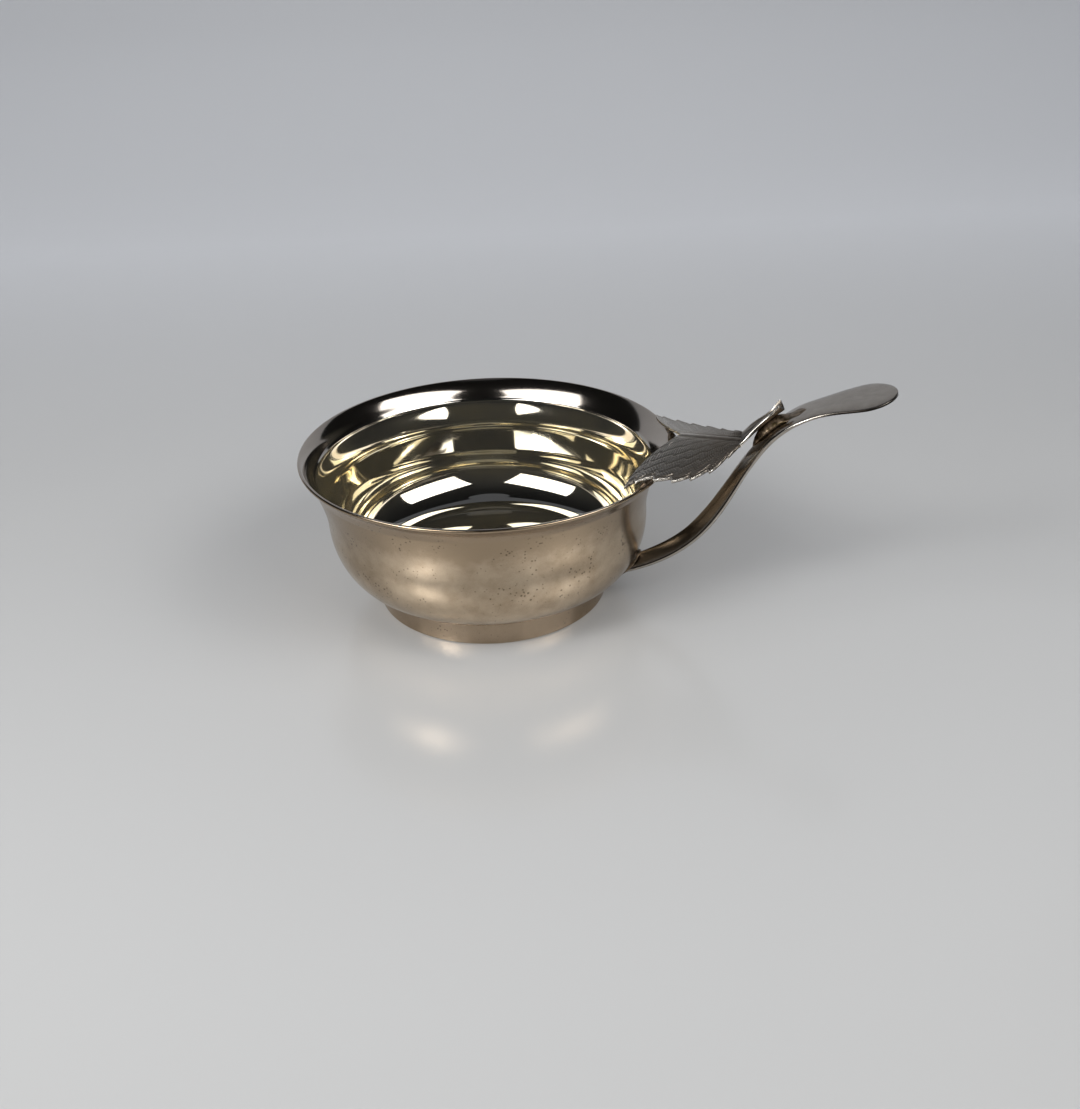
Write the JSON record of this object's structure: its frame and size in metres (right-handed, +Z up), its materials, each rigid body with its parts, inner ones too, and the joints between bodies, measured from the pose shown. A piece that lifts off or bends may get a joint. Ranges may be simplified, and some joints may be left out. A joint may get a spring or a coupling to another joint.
{
  "type": "handled dish",
  "caption": "Small round footed silver dish with a flared rim and a side handle: a curved strap ending in a flat thumb piece, joined to the rim by a leaf-shaped bridge.",
  "frame": {"origin": "on the table, under the middle of the whole dish from bowl to thumb piece", "axes": "+X along the handle from the bowl to the thumb piece, +Z up, the foot stands on Z = 0"},
  "size_m": [0.1541, 0.1, 0.0652],
  "materials": {
    "satin_silver": "satin",
    "worn_silver": "worn satin",
    "forged_silver": "polished, lightly tarnished",
    "oxidised_silver": "chased and oxidised",
    "hard_solder": "dull"
  },
  "bodies": {
    "root": {"bowl": "satin_silver", "foot_ring": "worn_silver", "foot_solder": "hard_solder", "handle_strap": "forged_silver", "strap_root_solder": "hard_solder", "leaf": "oxidised_silver", "leaf_solder_front": "hard_solder", "leaf_solder_back": "hard_solder", "stalk_solder": "hard_solder"}
  },
  "joints": []
}
